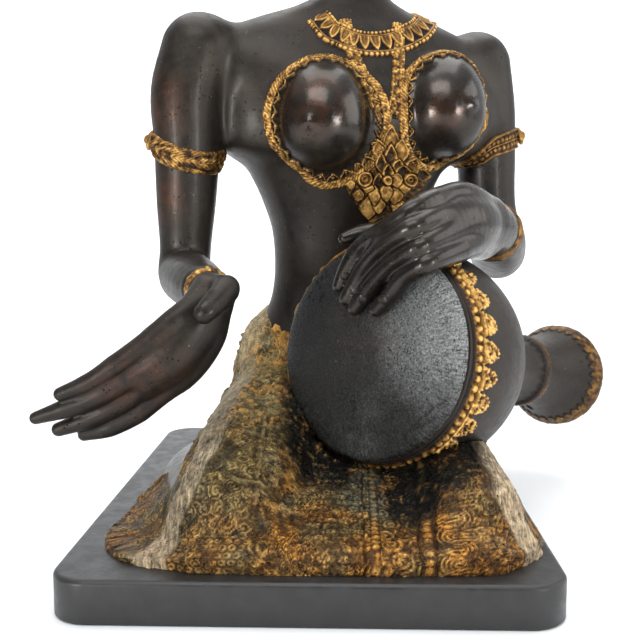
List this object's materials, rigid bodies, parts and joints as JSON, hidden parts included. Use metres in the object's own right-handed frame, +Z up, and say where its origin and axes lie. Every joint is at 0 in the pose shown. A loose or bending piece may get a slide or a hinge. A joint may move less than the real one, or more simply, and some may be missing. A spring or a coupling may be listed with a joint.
{
  "type": "musician statue",
  "caption": "Kneeling woman in patterned skirt and tall crown playing a goblet drum held across her lap, a cast bronze figure on a plain slab",
  "frame": {"origin": "middle of the slab's underside, on the surface it stands on", "axes": "+Z is up along the statue's height, -Y is the way the figure faces, +X is towards the drum's foot, which is the figure's left"},
  "size_m": [0.3525, 0.322, 0.5585],
  "materials": {
    "plinth_patina": "dark grey patinated bronze, satin",
    "figure_bronze": "dark brown bronze patina, waxed, with worn gold lacquer and green verdigris on the clothes",
    "drum_bronze": "dark grey bronze patina, waxed, with gold lacquer on the raised bands"
  },
  "bodies": {
    "root": {"plinth": "plinth_patina", "figure": "figure_bronze", "drum": "drum_bronze"}
  },
  "joints": []
}
